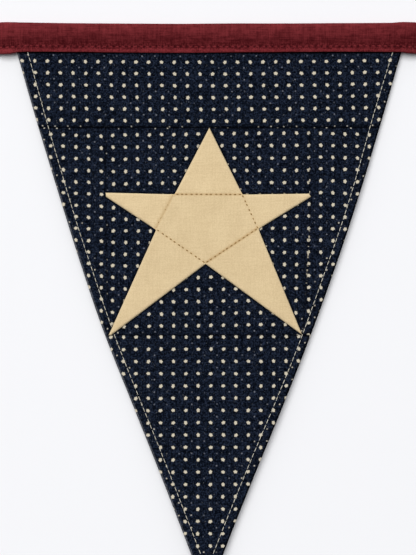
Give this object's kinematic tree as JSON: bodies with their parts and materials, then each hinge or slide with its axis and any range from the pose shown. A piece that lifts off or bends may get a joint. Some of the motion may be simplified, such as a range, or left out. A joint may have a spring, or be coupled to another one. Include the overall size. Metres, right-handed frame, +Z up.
{
  "type": "bunting",
  "caption": "Triangular patchwork pennant of a bunting: a pieced cream star among navy dotted patches, hung from a folded tape that runs on as plain tails.",
  "frame": {"origin": "middle of the tape's top edge, in the flat plane of the hanging cloth", "axes": "+X to the right along the tape as seen from the front, +Y to the back, towards the wall, +Z up"},
  "size_m": [0.258, 0.0054, 0.2349],
  "materials": {
    "burgundy_tape": "plain-woven cotton tape, matte",
    "navy_cotton": "plain-woven cotton printed with small cream dots, matte",
    "cream_cotton": "plain-woven cotton, matte"
  },
  "bodies": {
    "root": {"binding_tape": "burgundy_tape", "top_strip": "navy_cotton", "left_strip": "navy_cotton", "right_strip": "navy_cotton", "bottom_panel": "navy_cotton", "patch_top_left": "navy_cotton", "patch_top_right": "navy_cotton", "patch_left": "navy_cotton", "patch_right": "navy_cotton", "patch_bottom": "navy_cotton", "star_middle": "cream_cotton", "star_top": "cream_cotton", "star_right": "cream_cotton", "star_lower_right": "cream_cotton", "star_lower_left": "cream_cotton", "star_left": "cream_cotton"}
  },
  "joints": []
}
